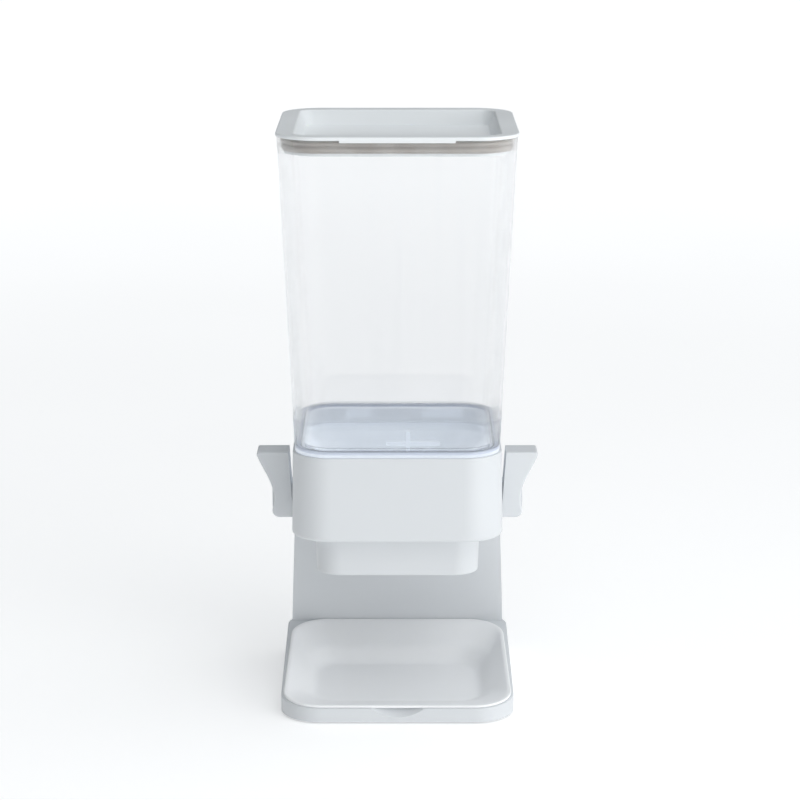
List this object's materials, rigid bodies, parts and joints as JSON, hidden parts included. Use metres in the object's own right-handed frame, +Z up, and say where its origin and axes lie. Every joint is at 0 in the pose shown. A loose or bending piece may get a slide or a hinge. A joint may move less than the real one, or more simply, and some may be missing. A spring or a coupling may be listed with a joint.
{
  "type": "cereal dispenser",
  "caption": "Countertop dry food dispenser: clear tapered hopper with sealed lid, two side press levers, drop gates in a white casing, and a wedge stand with a lift-out tray.",
  "frame": {"origin": "on the surface that the feet stand on, below the middle of the object", "axes": "+Z up, +X to the user's right, -Y towards the user"},
  "size_m": [0.2066, 0.17, 0.425],
  "materials": {
    "white_shell": "satin white moulding",
    "tray_shell": "satin white moulding",
    "clear_shell": "clear polished moulding",
    "seal": "soft translucent silicone",
    "steel": "bright drawn steel",
    "foot": "soft grey rubber"
  },
  "bodies": {
    "root": {"stand": "white_shell", "rear_cover": "white_shell", "rear_cover_screws": "steel", "feet": "foot", "casing": "white_shell", "casing_screws": "steel", "funnel": "clear_shell", "flow_bar": "clear_shell", "spout": "white_shell", "spout_screws": "steel", "gate_shaft_left": "steel", "gate_shaft_right": "steel", "lever_pin_left": "steel", "lever_pin_right": "steel", "lever_spring_left": "steel", "lever_spring_right": "steel"},
    "hopper": {"hopper": "clear_shell"},
    "lid": {"lid": "white_shell", "lid_gasket": "seal"},
    "tray": {"tray": "tray_shell"},
    "lever_left": {"lever_left": "white_shell", "drive_pin_left": "steel"},
    "lever_right": {"lever_right": "white_shell", "drive_pin_right": "steel"},
    "gate_left": {"gate_left": "white_shell"},
    "gate_right": {"gate_right": "white_shell"}
  },
  "joints": [
    {"name": "hopper_lift", "type": "slide", "parent": "root", "child": "hopper", "axis": [0, 0, 1], "range_m": [0, 0.08]},
    {"name": "lid_lift", "type": "slide", "parent": "hopper", "child": "lid", "axis": [0, 0, 1], "range_m": [0, 0.06]},
    {"name": "tray_pull", "type": "slide", "parent": "root", "child": "tray", "axis": [0, -0.8988, 0.4384], "range_m": [0, 0.17]},
    {"name": "lever_left_press", "type": "hinge", "parent": "root", "child": "lever_left", "pos_m": [-0.07, 0, 0.146], "axis": [0, 1, 0], "range_deg": [0, 8.5], "stiffness_Nm_per_rad": 0.5, "springref_deg": -20.05},
    {"name": "gate_left_turn", "type": "hinge", "parent": "root", "child": "gate_left", "pos_m": [-0.05187, 0, 0.13755], "axis": [0, 1, 0], "range_deg": [0, 32.79]},
    {"name": "lever_right_press", "type": "hinge", "parent": "root", "child": "lever_right", "pos_m": [0.07, 0, 0.146], "axis": [0, -1, 0], "range_deg": [0, 8.5], "stiffness_Nm_per_rad": 0.5, "springref_deg": -20.05},
    {"name": "gate_right_turn", "type": "hinge", "parent": "root", "child": "gate_right", "pos_m": [0.05187, 0, 0.13755], "axis": [0, -1, 0], "range_deg": [0, 32.79]}
  ],
  "couplings": [
    {"joint": "gate_left_turn", "follows": "lever_left_press", "ratio": 3.8571},
    {"joint": "gate_right_turn", "follows": "lever_right_press", "ratio": 3.8571}
  ]
}
